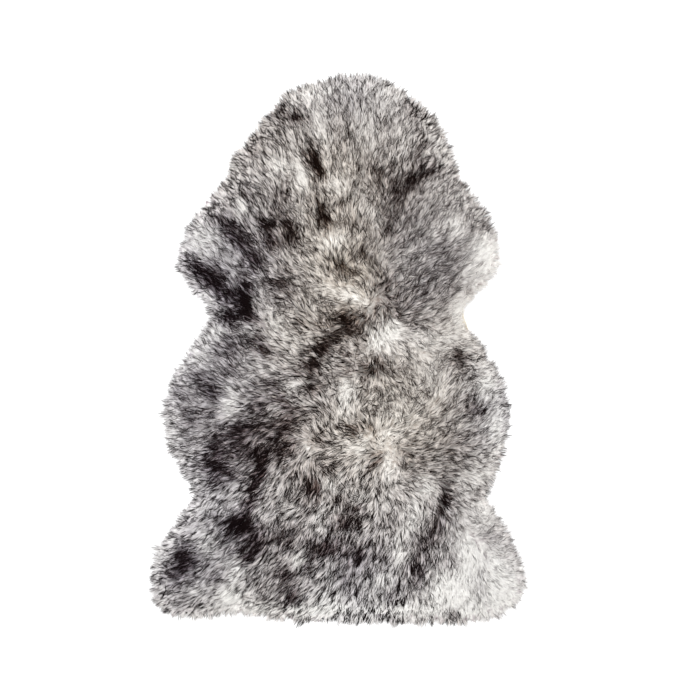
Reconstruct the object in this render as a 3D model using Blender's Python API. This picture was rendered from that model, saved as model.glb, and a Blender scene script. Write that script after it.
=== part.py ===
# Sheepskin rug: a whole pelt lying flat, wool side up, with its neck end towards +Y.
#
# hide    the tanned skin, one thin flat sheet cut to the pelt's outline. It lies on the floor.
# fleece  the wool that stands on the hide: a lumpy slab with a rounded shoulder. Its rim is drawn
#         out into locks that droop over the hide's edge and rest level on the floor.
#
# The origin is on the floor, under the middle of the rug's box. +Z is up.

import math
import random
from collections import namedtuple

import bmesh
import bpy
import numpy as np
from mathutils import Matrix, Vector, geometry, kdtree, noise

MM = 0.001

# Driving dimensions, in metres
HIDE_THICKNESS = 2.0 * MM
SEAT_GAP = 0.3 * MM  # between the hide and the wool that stands on it
PILE_HEIGHT = 41 * MM  # of the combed wool above the floor, before its lumps
SHOULDER_WIDTH = 46 * MM  # the stretch over which the wool rounds down to the rim
LOCK_ROOT_HEIGHT = 13 * MM  # the top of a rim lock where it leaves the slab
LOCK_PITCH = 12.5 * MM  # from one rim lock to the next
LOCK_VARIATION = 0.6  # of a lock's reach, longest to shortest
MOUND_PITCH = 44 * MM  # between the clumps of wool
MOUND_RISE = 16 * MM  # from the crease round a clump to its crown
SWELL_PITCH = 130 * MM  # of the slow rise and fall of the whole pile
SWELL_RISE = 5 * MM

# How finely the shapes are drawn
GRID_PITCH = 15 * MM  # between the points of the slab's upper side
GRID_JITTER = 0.2  # of the grid's pitch
GRID_MARGIN = 9 * MM  # kept free of grid points along the rim
HIDE_EDGE_PITCH = 12 * MM
TRACE_PITCH = 1 * MM  # of the finely drawn rim that depths are measured from
SPLINE_STEPS = 40  # between two rows of RIM

# The slab's rim, anticlockwise from the crown, in mm. lock is how far the locks reach past the
# rim, and tuck is how far the hide's edge lies inside it, or outside where tuck is negative.
RimPoint = namedtuple("RimPoint", "place x y lock tuck")
RIM = [
    RimPoint("crown", 24, 460, 14, 14),
    RimPoint("crown left", -29, 452, 13, 14),
    RimPoint("brow left", -79, 432, 13, 14),
    RimPoint("brow left", -121, 383, 13, 14),
    RimPoint("temple left", -164, 333, 13, 14),
    RimPoint("temple left", -188, 281, 14, 14),
    RimPoint("shoulder left", -232, 230, 14, 14),
    RimPoint("fore leg left", -256, 184, 15, 14),
    RimPoint("fore leg left", -264, 150, 14, 14),
    RimPoint("fore leg left", -245, 113, 13, 14),
    RimPoint("neck left", -209, 72, 9, 13),
    RimPoint("neck left", -222, 29, 12, 13),
    RimPoint("flank left", -248, -8, 14, 14),
    RimPoint("flank left", -272, -51, 14, 14),
    RimPoint("belly left", -285, -102, 14, 14),
    RimPoint("belly left", -278, -168, 13, 14),
    RimPoint("waist left", -246, -215, 13, 14),
    RimPoint("waist left", -236, -256, 13, 14),
    RimPoint("haunch left", -276, -310, 14, 14),
    RimPoint("haunch left", -304, -361, 14, 14),
    RimPoint("hind leg left", -306, -417, 14, 15),
    RimPoint("hind leg left", -279, -446, 14, 15),
    RimPoint("rump left", -183, -439, 14, 14),
    RimPoint("rump left", -96, -449, 15, 14),
    RimPoint("rump", 36, -451, 15, 14),
    RimPoint("rump right", 150, -455, 15, 14),
    RimPoint("rump right", 226, -453, 15, 14),
    RimPoint("hind leg right", 278, -437, 15, 15),
    RimPoint("hind leg right", 306, -406, 14, 14),
    RimPoint("haunch right", 294, -355, 13, 14),
    RimPoint("haunch right", 268, -304, 12, 14),
    RimPoint("waist right", 239, -259, 11, 12),
    RimPoint("waist right", 251, -218, 13, 14),
    RimPoint("belly right", 270, -168, 14, 14),
    RimPoint("belly right", 277, -107, 14, 14),
    RimPoint("flank right", 264, -48, 13, 14),
    RimPoint("flank right", 234, -6, 12, 10),
    RimPoint("neck right", 217, 30, 5, -6),
    RimPoint("neck right", 207, 66, 4, -6),
    RimPoint("fore leg right", 228, 104, 11, 9),
    RimPoint("fore leg right", 254, 137, 13, 14),
    RimPoint("fore leg right", 261, 180, 14, 14),
    RimPoint("shoulder right", 237, 230, 14, 14),
    RimPoint("temple right", 200, 284, 13, 14),
    RimPoint("temple right", 178, 338, 13, 14),
    RimPoint("brow right", 155, 388, 13, 14),
    RimPoint("brow right", 106, 432, 13, 14),
    RimPoint("crown right", 66, 455, 14, 14),
]

# Where the wool parts and lies lower, as a trough from one end to the other, in mm.
Parting = namedtuple("Parting", "place x0 y0 x1 y1 width depth")
PARTINGS = [
    Parting("brow", -48, 342, -36, 296, 16, 9),
    Parting("temple left", -128, 218, -92, 196, 24, 9),
    Parting("shoulder left", -168, 214, -136, 146, 18, 7),
    Parting("fore leg left", -245, 152, -180, 92, 17, 9),
    Parting("neck left", -172, 98, -156, 18, 16, 14),
    Parting("temple right", 90, 294, 160, 306, 20, 7),
    Parting("shoulder right", 104, 92, 180, 152, 24, 8),
    Parting("middle", -42, -22, 24, 54, 18, 10),
    Parting("flank left", -216, -176, -108, -96, 28, 10),
    Parting("waist left", -152, -178, -166, -262, 18, 9),
    Parting("haunch left", -178, -308, -110, -346, 20, 14),
    Parting("rump", -36, -338, 30, -290, 22, 10),
    Parting("haunch right", 186, -252, 104, -420, 17, 12),
]

# A rim lock's sections: how far out each is, as a share of the lock's reach, how wide and how
# high it is, as shares of its root, and how far it has swung to the side, as a share of its reach.
LockSection = namedtuple("LockSection", "out width height swing")
LOCK_SECTIONS = [
    LockSection(0.30, 0.86, 0.70, 0.04),
    LockSection(0.70, 0.46, 0.36, 0.16),
]
LOCK_TIP = LockSection(1.0, 0.0, 0.07, 0.30)

FLEECE_FOOT = HIDE_THICKNESS + SEAT_GAP
SHALLOW_TUCK = 4 * MM  # with less tuck than this, a lock lies on the hide, not on the floor
CREASE_LEVEL = 0.45  # the share of a clump's rise that lies above the combed pile


def spline_point(before, start, end, after, share):
    """The point a share of the way from start to end on a Catmull-Rom spline."""
    square, cube = share**2, share**3
    return 0.5 * (
        2 * start
        + (end - before) * share
        + (2 * before - 5 * start + 4 * end - after) * square
        + (3 * (start - end) + after - before) * cube
    )


def rim_points(pitch):
    """Evenly spaced points on the smooth rim: columns x, y, lock and tuck, in metres."""
    rows = np.array([[row.x, row.y, row.lock, row.tuck] for row in RIM], float) * MM
    knots = len(rows)
    curve = np.array([
        spline_point(*(rows[(knot + k) % knots] for k in (-1, 0, 1, 2)), step / SPLINE_STEPS)
        for knot in range(knots)
        for step in range(SPLINE_STEPS)
    ])
    closed = np.vstack([curve, curve[:1]])
    steps = np.linalg.norm(np.diff(closed[:, :2], axis=0), axis=1)
    along = np.concatenate([[0], np.cumsum(steps)])
    count = round(along[-1] / pitch)
    stops = np.arange(count) * along[-1] / count
    return np.stack([np.interp(stops, along, column) for column in closed.T], axis=1)


def outward_normals(loop):
    """The unit normal at each point of an anticlockwise loop, pointing away from the rug."""
    ahead = np.roll(loop[:, :2], -1, axis=0) - np.roll(loop[:, :2], 1, axis=0)
    normals = np.stack([ahead[:, 1], -ahead[:, 0]], axis=1)
    return normals / np.linalg.norm(normals, axis=1, keepdims=True)


class Trace:
    """The rim drawn finely, to measure how far a point lies inside it."""

    def __init__(self):
        self.points = rim_points(TRACE_PITCH)[:, :2]
        self.normals = outward_normals(self.points)
        self.tree = kdtree.KDTree(len(self.points))
        for number, (x, y) in enumerate(self.points):
            self.tree.insert((x, y, 0), number)
        self.tree.balance()

    def depth(self, x, y):
        """The distance from the rim, counted as negative outside it."""
        _, number, distance = self.tree.find((x, y, 0))
        outward = self.normals[number] @ (np.array([x, y]) - self.points[number])
        return math.copysign(distance, -outward)


def parted(x, y):
    """How much lower the wool lies at a point because of the partings near it."""
    point = Vector((x, y))
    drop = 0
    for row in PARTINGS:
        start = Vector((row.x0, row.y0)) * MM
        end = Vector((row.x1, row.y1)) * MM
        _, share = geometry.intersect_point_line(point, start, end)
        nearest = start.lerp(end, min(max(share, 0), 1))
        away = (point - nearest).length / (row.width * MM)
        drop = max(drop, row.depth * MM * math.exp(-(away**2)))
    return drop


def wool_height(x, y, depth):
    """The height of the slab's upper side above the floor, at a point that far inside the rim."""
    run = min(depth / SHOULDER_WIDTH, 1)
    shoulder = math.sqrt(1 - (1 - run) ** 2)
    from_crown = noise.voronoi(Vector((x, y, 0)) / MOUND_PITCH)[0][0]
    mound = MOUND_RISE * (CREASE_LEVEL - from_crown)
    swell = SWELL_RISE * noise.noise(Vector((x, y, 0)) / SWELL_PITCH)
    rise = PILE_HEIGHT - LOCK_ROOT_HEIGHT + mound + swell - parted(x, y)
    return LOCK_ROOT_HEIGHT + rise * shoulder


def inner_points():
    """The slab's upper side as a loosely hexagonal grid of points inside the rim."""
    trace = Trace()
    choice = random.Random(4)
    row_pitch = GRID_PITCH * math.sqrt(3) / 2
    half_width, half_length = np.abs(trace.points).max(axis=0)
    rows = math.ceil(half_length / row_pitch)
    columns = math.ceil(half_width / GRID_PITCH)
    points = []
    for row in range(-rows, rows + 1):
        for column in range(-columns, columns + 1):
            aside, ahead = (choice.uniform(-GRID_JITTER, GRID_JITTER) for _ in range(2))
            x = (column + row % 2 / 2 + aside) * GRID_PITCH
            y = row * row_pitch + ahead * GRID_PITCH
            depth = trace.depth(x, y)
            if depth > GRID_MARGIN:
                points.append((x, y, wool_height(x, y, depth)))
    return points


def cover(bm, ring, points):
    """Closes a ring with triangles over the points inside it."""
    flat = [Vector(vert.co[:2]) for vert in ring] + [Vector(point[:2]) for point in points]
    edges = [(i, (i + 1) % len(ring)) for i in range(len(ring))]
    _, _, faces, sources, _, _ = geometry.delaunay_2d_cdt(flat, edges, [], 1, 1e-6)
    verts = ring + [bm.verts.new(point) for point in points]
    for face in faces:
        bm.faces.new([verts[sources[corner][0]] for corner in face])


def draw_out_lock(bm, root, outward, reach, swing, rest):
    """Draws one rim face out into a tapering lock whose underside is level at the rest height."""
    low_start, low_end, high_end, _ = (vert.co.copy() for vert in root.verts)
    half = (low_end - low_start) / 2
    middle = (low_start + low_end) / 2
    middle.z = rest
    sideways = half.normalized() * swing

    def centre(section):
        return middle + (outward * section.out + sideways * section.swing) * reach

    end = root
    for section in LOCK_SECTIONS:
        end = bmesh.ops.extrude_discrete_faces(bm, faces=[end])["faces"][0]
        rise = Vector((0, 0, section.height * high_end.z))
        start_side = centre(section) - half * section.width
        end_side = centre(section) + half * section.width
        corners = (start_side, end_side, end_side + rise, start_side + rise)
        for vert, corner in zip(end.verts, corners):
            vert.co = corner
    tip = bmesh.ops.poke(bm, faces=[end])["verts"][0]
    tip.co = centre(LOCK_TIP) + Vector((0, 0, LOCK_TIP.height * high_end.z))


def fleece_mesh():
    """The lumpy slab of wool with the locks at its rim, as one closed body."""
    rim = rim_points(LOCK_PITCH)
    normals = outward_normals(rim)
    bm = bmesh.new()
    foot = [bm.verts.new((x, y, FLEECE_FOOT)) for x, y in rim[:, :2]]
    shelf = [bm.verts.new((x, y, LOCK_ROOT_HEIGHT)) for x, y in rim[:, :2]]
    bm.faces.new(foot[::-1])
    cover(bm, shelf, inner_points())
    choice = random.Random(11)
    for i, (_, _, lock, tuck) in enumerate(rim):
        j = (i + 1) % len(rim)
        root = bm.faces.new((foot[i], foot[j], shelf[j], shelf[i]))
        outward = Vector((*(normals[i] + normals[j]), 0)).normalized()
        reach = lock * (1 + LOCK_VARIATION * choice.uniform(-0.5, 0.5))
        rest = FLEECE_FOOT if tuck < SHALLOW_TUCK else 0
        draw_out_lock(bm, root, outward, reach, choice.uniform(-1, 1), rest)
    return as_mesh(bm, "fleece")


def hide_mesh():
    """The tanned skin: the pelt's outline, tucked in under the wool, with its thickness."""
    rim = rim_points(HIDE_EDGE_PITCH)
    edge = rim[:, :2] - outward_normals(rim) * rim[:, 3:4]
    bm = bmesh.new()
    underside = bm.faces.new([bm.verts.new((x, y, 0)) for x, y in edge])
    raised = bmesh.ops.extrude_face_region(bm, geom=[underside])["geom"]
    for item in raised:
        if isinstance(item, bmesh.types.BMVert):
            item.co.z = HIDE_THICKNESS
    return as_mesh(bm, "hide")


def as_mesh(bm, name):
    bmesh.ops.recalc_face_normals(bm, faces=bm.faces)
    mesh = bpy.data.meshes.new(name)
    bm.to_mesh(mesh)
    bm.free()
    return mesh


def finish(name, colour, roughness):
    """A matt material for wool or skin."""
    material = bpy.data.materials.new(name)
    material.use_nodes = True
    shader = material.node_tree.nodes["Principled BSDF"]
    shader.inputs["Base Color"].default_value = (*colour, 1)
    shader.inputs["Roughness"].default_value = roughness
    shader.inputs["Metallic"].default_value = 0
    material.diffuse_color = (*colour, 1)
    return material


def place(mesh, material, middle):
    """Puts a mesh in the scene, with the middle of the rug's box over the origin."""
    mesh.transform(Matrix.Translation((-middle.x, -middle.y, 0)))
    mesh.materials.append(material)
    piece = bpy.data.objects.new(mesh.name, mesh)
    bpy.context.scene.collection.objects.link(piece)


def main():
    for leftover in list(bpy.data.objects):
        bpy.data.objects.remove(leftover, do_unlink=True)
    fleece = fleece_mesh()
    spread = np.array([vert.co.xy for vert in fleece.vertices])
    middle = Vector((spread.min(axis=0) + spread.max(axis=0)) / 2)
    grey_wool = finish("grey wool", colour=(0.42, 0.39, 0.37), roughness=0.95)
    tanned_skin = finish("tanned skin", colour=(0.70, 0.62, 0.50), roughness=0.85)
    fleece.shade_smooth()
    place(fleece, grey_wool, middle)
    place(hide_mesh(), tanned_skin, middle)


main()
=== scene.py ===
# A sheepskin rug laid out flat, wool side up. It has a tanned hide, dense wool close to it, and
# long pale strands with brown-black tips, combed outwards and clumped in tufts.
import math
from collections import namedtuple

import bpy
import numpy as np
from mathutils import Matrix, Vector, kdtree, noise


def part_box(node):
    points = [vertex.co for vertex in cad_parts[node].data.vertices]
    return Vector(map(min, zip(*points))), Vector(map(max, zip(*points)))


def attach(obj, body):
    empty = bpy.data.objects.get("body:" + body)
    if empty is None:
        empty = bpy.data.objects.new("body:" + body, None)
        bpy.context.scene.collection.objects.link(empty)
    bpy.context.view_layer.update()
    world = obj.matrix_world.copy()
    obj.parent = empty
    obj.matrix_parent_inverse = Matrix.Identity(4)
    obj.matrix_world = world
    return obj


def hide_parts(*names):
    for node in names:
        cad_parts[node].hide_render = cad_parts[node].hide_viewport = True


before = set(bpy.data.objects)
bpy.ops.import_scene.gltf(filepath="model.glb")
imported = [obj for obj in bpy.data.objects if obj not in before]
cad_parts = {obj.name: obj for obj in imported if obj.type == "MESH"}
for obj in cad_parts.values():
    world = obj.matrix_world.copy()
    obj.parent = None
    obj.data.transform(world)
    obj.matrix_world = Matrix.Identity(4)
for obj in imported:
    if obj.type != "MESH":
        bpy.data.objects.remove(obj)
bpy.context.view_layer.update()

mm = 0.001
fleeceLow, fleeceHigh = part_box("fleece")


def toLinear(hexCode):
    parts = [int(hexCode[i : i + 2], 16) / 255 for i in (0, 2, 4)]
    return [c / 12.92 if c <= 0.04045 else ((c + 0.055) / 1.055) ** 2.4 for c in parts] + [1]


# A hex code among the inputs is a colour. What comes back is the output asked for.
def addNode(tree, kind, output, settings=None, inputs=None):
    node = tree.nodes.new("ShaderNode" + kind)
    for name, value in (settings or {}).items():
        setattr(node, name, value)
    for name, value in (inputs or {}).items():
        if isinstance(value, bpy.types.NodeSocket):
            tree.links.new(value, node.inputs[name])
        else:
            node.inputs[name].default_value = toLinear(value) if isinstance(value, str) else value
    return node.outputs[output]


def newMaterial(name, settings):
    material = bpy.data.materials.new(name)
    material.use_nodes = True
    tree = material.node_tree
    shader = tree.nodes["Principled BSDF"]
    for socket, value in settings.items():
        shader.inputs[socket].default_value = value
    return material, tree, shader


def onlySelect(thing):
    bpy.ops.object.select_all(action="DESELECT")
    thing.select_set(True)
    bpy.context.view_layer.objects.active = thing


def copyNode(node, name):
    piece = bpy.data.objects.new(name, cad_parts[node].data.copy())
    bpy.context.scene.collection.objects.link(piece)
    piece.data.materials.clear()
    onlySelect(piece)
    bpy.ops.object.mode_set(mode="EDIT")
    bpy.ops.mesh.select_all(action="SELECT")
    bpy.ops.mesh.remove_doubles(threshold=0.02 * mm)
    bpy.ops.object.mode_set(mode="OBJECT")
    return piece


# The fleece's form, read off the frame on an even grid.
formValues = {
    "step": 3 * mm,
    "margin": 40 * mm,  # read this far past the fleece's box
    "rimHeight": 12.5 * mm,  # where the slab ends and its rim locks start
}


def readForm():
    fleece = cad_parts["fleece"]
    step, margin = formValues["step"], formValues["margin"]
    xs = np.arange(fleeceLow.x - margin, fleeceHigh.x + margin, step)
    ys = np.arange(fleeceLow.y - margin, fleeceHigh.y + margin, step)
    height = np.zeros((len(ys), len(xs)))
    for row, y in enumerate(ys):
        for column, x in enumerate(xs):
            hit, place, _, _ = fleece.ray_cast((x, y, 1), (0, 0, -1))
            if hit:
                height[row, column] = place.z
    inside = height > formValues["rimHeight"]
    edge = inside.copy()
    for shift, axis in ((1, 0), (-1, 0), (1, 1), (-1, 1)):
        edge &= np.roll(inside, shift, axis)
    edge = inside & ~edge
    tree = kdtree.KDTree(int(edge.sum()))
    for number, (row, column) in enumerate(np.argwhere(edge)):
        tree.insert((xs[column], ys[row], 0), number)
    tree.balance()
    inset = np.zeros_like(height)
    for row, y in enumerate(ys):
        for column, x in enumerate(xs):
            inset[row, column] = tree.find((x, y, 0))[2]
    inset = np.where(inside, inset, -inset)
    return {"west": xs[0], "south": ys[0], "step": step, "height": height, "inset": inset}


form = readForm()
print("fleece read:", form["height"].shape)


def readAt(grid, x, y):
    u = np.clip((x - form["west"]) / form["step"], 0, grid.shape[1] - 1.001)
    v = np.clip((y - form["south"]) / form["step"], 0, grid.shape[0] - 1.001)
    i, j = u.astype(int), v.astype(int)
    u, v = u - i, v - j
    return (
        grid[j, i] * (1 - u) * (1 - v)
        + grid[j, i + 1] * u * (1 - v)
        + grid[j + 1, i] * (1 - u) * v
        + grid[j + 1, i + 1] * u * v
    )


# Soft noise from -1 to 1, with clouds of the given size.
def cloudy(x, y, size, seed):
    return np.array([noise.noise((a / size, b / size, seed)) for a, b in zip(x, y)])


# Which way the wool is combed, with places in mm from the middle of the rug. Headings are in
# degrees: 0 is across to the right and 90 is towards the neck end.
Stroke = namedtuple("Stroke", "place x y heading")
combStrokes = [
    ("crown left", -30, 425, 103),
    ("crown", 30, 440, 90),
    ("crown right", 90, 430, 68),
    ("brow left", -100, 395, 135),
    ("brow", 30, 350, 90),
    ("brow right", 130, 380, 55),
    ("temple left", -150, 320, 138),
    ("temple left", -60, 320, 118),
    ("temple right", 90, 310, 72),
    ("temple right", 165, 310, 48),
    ("shoulder left", -200, 240, 128),
    ("shoulder left", -110, 235, 124),
    ("shoulder left", -40, 225, 110),
    ("withers", 30, 240, 92),
    ("shoulder right", 100, 225, 70),
    ("shoulder right", 170, 235, 62),
    ("shoulder right", 218, 225, 48),
    ("fore leg left", -245, 155, 153),
    ("fore leg left", -175, 155, 138),
    ("fore leg left", -90, 150, 118),
    ("withers", 0, 140, 116),
    ("withers", 68, 140, 88),
    ("fore leg right", 120, 130, 30),
    ("fore leg right", 180, 145, 38),
    ("fore leg right", 245, 165, 30),
    ("neck left", -200, 75, 160),
    ("neck left", -140, 80, 122),
    ("neck left", -75, 70, 142),
    ("middle", -10, 75, 158),
    ("middle", 70, 50, 290),
    ("neck right", 135, 70, 40),
    ("neck right", 200, 60, 18),
    ("flank left", -235, 0, 142),
    ("flank left", -155, 0, 145),
    ("middle", -70, 10, 182),
    ("middle", 10, 10, 160),
    ("middle", 110, 5, 318),
    ("flank right", 175, 5, 358),
    ("flank right", 235, -10, 10),
    ("belly left", -265, -60, 160),
    ("belly left", -190, -55, 165),
    ("belly left", -110, -50, 180),
    ("belly", -30, -50, 172),
    ("belly", 95, -65, 283),
    ("belly right", 170, -70, 52),
    ("belly right", 245, -75, 42),
    ("belly left", -265, -125, 185),
    ("belly left", -180, -120, 190),
    ("belly left", -95, -125, 205),
    ("belly", -5, -120, 110),
    ("belly", 75, -130, 85),
    ("belly right", 150, -130, 45),
    ("belly right", 240, -140, 42),
    ("waist left", -230, -205, 186),
    ("waist left", -130, -195, 212),
    ("waist", -40, -195, 254),
    ("waist", 50, -205, 238),
    ("waist", 54, -168, 205),
    ("waist right", 112, -168, 8),
    ("waist right", 130, -205, 0),
    ("waist right", 185, -210, 345),
    ("waist right", 235, -225, 350),
    ("haunch left", -270, -310, 190),
    ("haunch left", -180, -280, 224),
    ("haunch left", -80, -280, 233),
    ("rump", 20, -280, 245),
    ("rump", 120, -280, 258),
    ("haunch right", 185, -290, 276),
    ("haunch right", 250, -295, 20),
    ("haunch left", -285, -360, 196),
    ("haunch left", -190, -360, 216),
    ("rump", -70, -360, 224),
    ("rump", 30, -360, 244),
    ("rump", 120, -360, 257),
    ("haunch right", 205, -365, 268),
    ("haunch right", 285, -350, 5),
    ("hind leg left", -270, -420, 208),
    ("rump", -150, -420, 216),
    ("rump", -20, -425, 236),
    ("rump", 100, -425, 256),
    ("rump", 180, -425, 278),
    ("hind leg right", 265, -410, 318),
]
combStrokes = [Stroke(*row) for row in combStrokes]
combValues = {
    "waver": 36 * mm,  # how far a parting wanders to either side
    "waverSize": 42 * mm,
    "reach": 32 * mm,  # of a stroke
    "core": 0.2,
    "strayTurn": 330,  # degrees, where the strokes round about disagree and the wool falls any way
    "straySize": 17 * mm,
}


def combedHeading(x, y):
    size, waver = combValues["waverSize"], combValues["waver"]
    x, y = x + cloudy(x, y, size, 5.2) * waver, y + cloudy(x, y, size, 7.9) * waver
    across = along = whole = 0
    for stroke in combStrokes:
        away = np.hypot(x - stroke.x * mm, y - stroke.y * mm) / combValues["reach"]
        weight = 1 / (combValues["core"] + away**3)
        across = across + weight * math.cos(math.radians(stroke.heading))
        along = along + weight * math.sin(math.radians(stroke.heading))
        whole = whole + weight
    astray = np.clip(1.1 - 1.8 * np.hypot(across, along) / whole, 0, 1)
    whorl = cloudy(x, y, combValues["straySize"], 2.9) * np.radians(combValues["strayTurn"])
    return np.arctan2(along, across) + whorl * astray


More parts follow.
